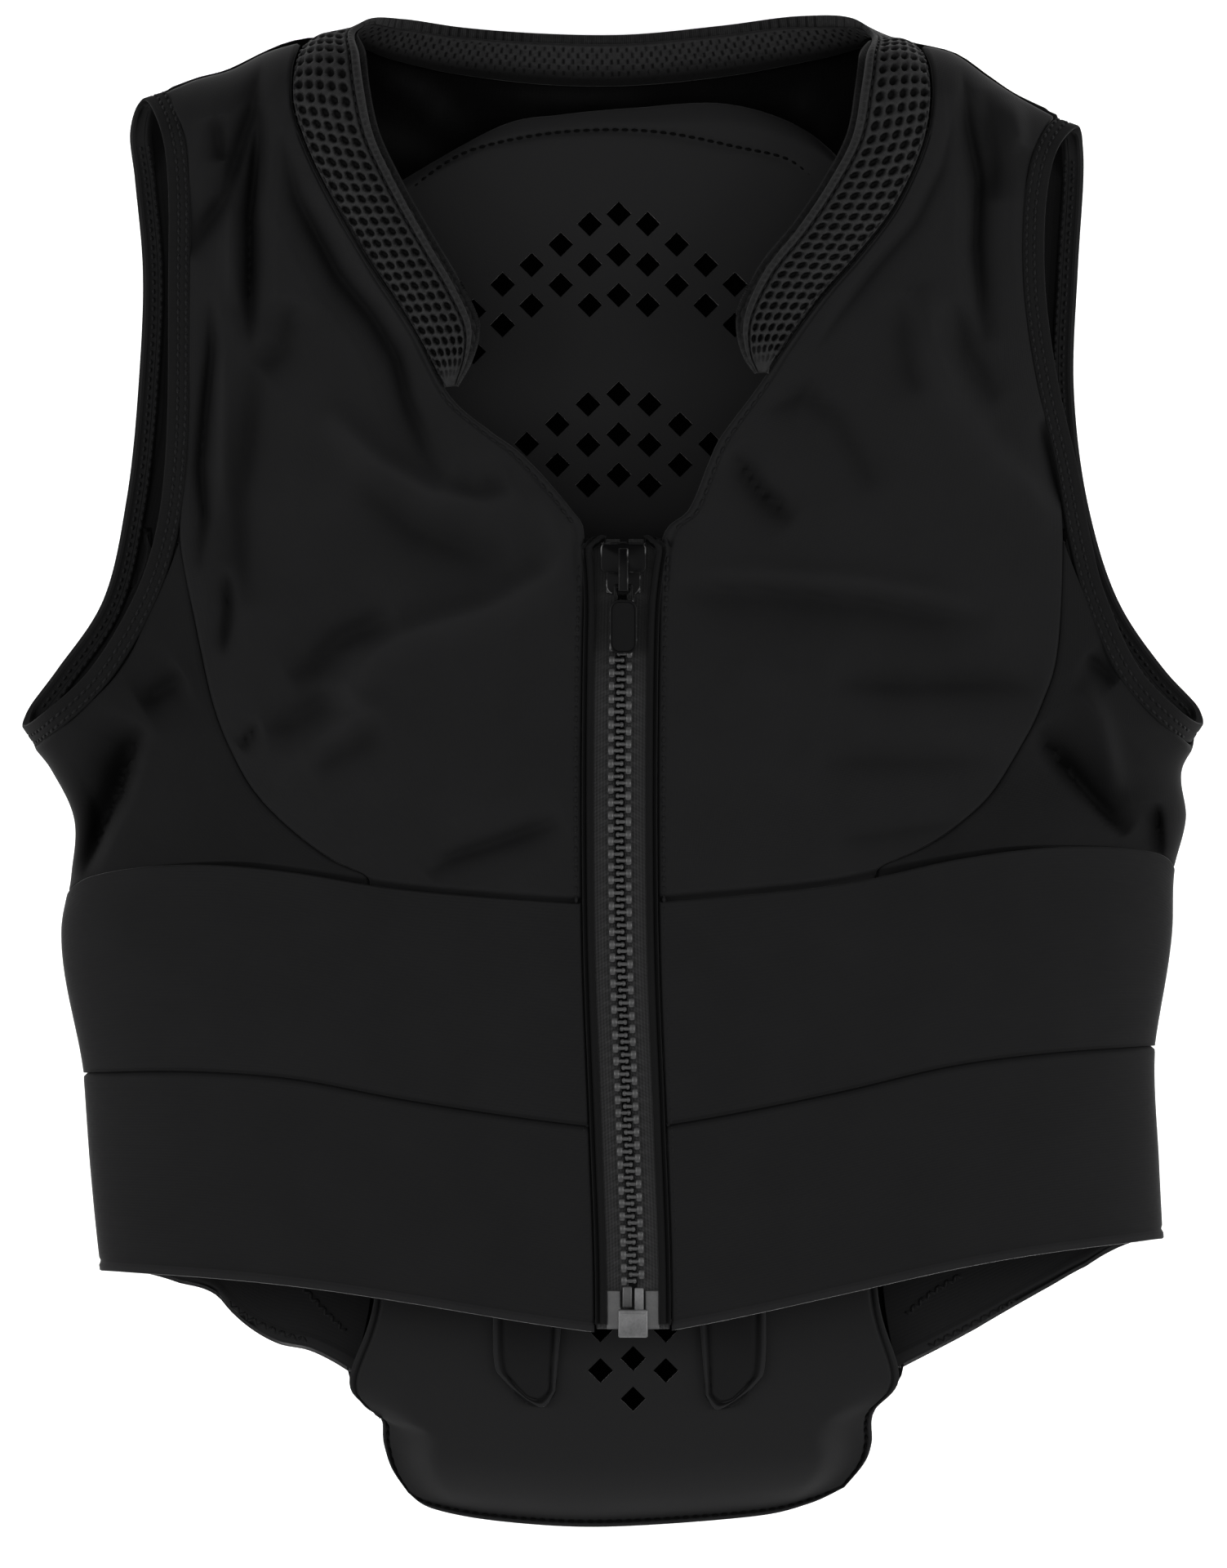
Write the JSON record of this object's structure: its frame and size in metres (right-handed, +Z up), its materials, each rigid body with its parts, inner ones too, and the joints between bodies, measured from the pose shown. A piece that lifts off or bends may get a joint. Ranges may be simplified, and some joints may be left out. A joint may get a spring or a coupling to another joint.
{
  "type": "protective vest",
  "caption": "Sleeveless zip vest with a foam back plate, stand collar of holed mesh, wide elastic waist bands and a tail below the hem, lying on its back.",
  "frame": {"origin": "on the floor, below the middle of the vest as it lies on its back", "axes": "+X to the viewer's right when looking at the front, +Y towards the neck, +Z up out of the front"},
  "size_m": [0.2954, 0.3776, 0.0498],
  "materials": {
    "cloth": "matt black stretch cloth",
    "plate": "black foam plate faced with smooth cloth",
    "flap": "black cloth tongue with a bound edge",
    "band": "thick smooth black elastic",
    "collar_mesh": "black spacer mesh with rows of oval holes",
    "binding": "black knitted binding, cover stitched",
    "tape": "black woven zip tape",
    "zip_plastic": "black moulded plastic, half gloss",
    "film": "grey stiffening film on the tape end",
    "slider": "black painted die-cast metal"
  },
  "bodies": {
    "vest": {"back_shell": "cloth", "back_plate": "plate", "tail_flap_left": "flap", "tail_flap_right": "flap", "chest_panel_left": "cloth", "chest_panel_right": "cloth", "side_panel_left": "cloth", "side_panel_right": "cloth", "upper_band_left": "band", "upper_band_right": "band", "lower_band_left": "band", "lower_band_right": "band", "collar_band": "collar_mesh", "armhole_binding_left": "binding", "armhole_binding_right": "binding", "zip_welt_left": "cloth", "zip_welt_right": "cloth", "zip_tape_left": "tape", "zip_tape_right": "tape", "zip_teeth_left": "zip_plastic", "zip_teeth_right": "zip_plastic", "zip_end_film_left": "film", "zip_end_film_right": "film", "zip_slider": "slider", "zip_box": "zip_plastic", "zip_pin": "zip_plastic"},
    "pull": {"zip_pull": "slider"}
  },
  "joints": [
    {"name": "pull_hinge", "type": "hinge", "parent": "vest", "child": "pull", "pos_m": [0.00264, 0.04572, 0.04735], "axis": [-1, 0, 0], "range_deg": [0, 140]}
  ]
}
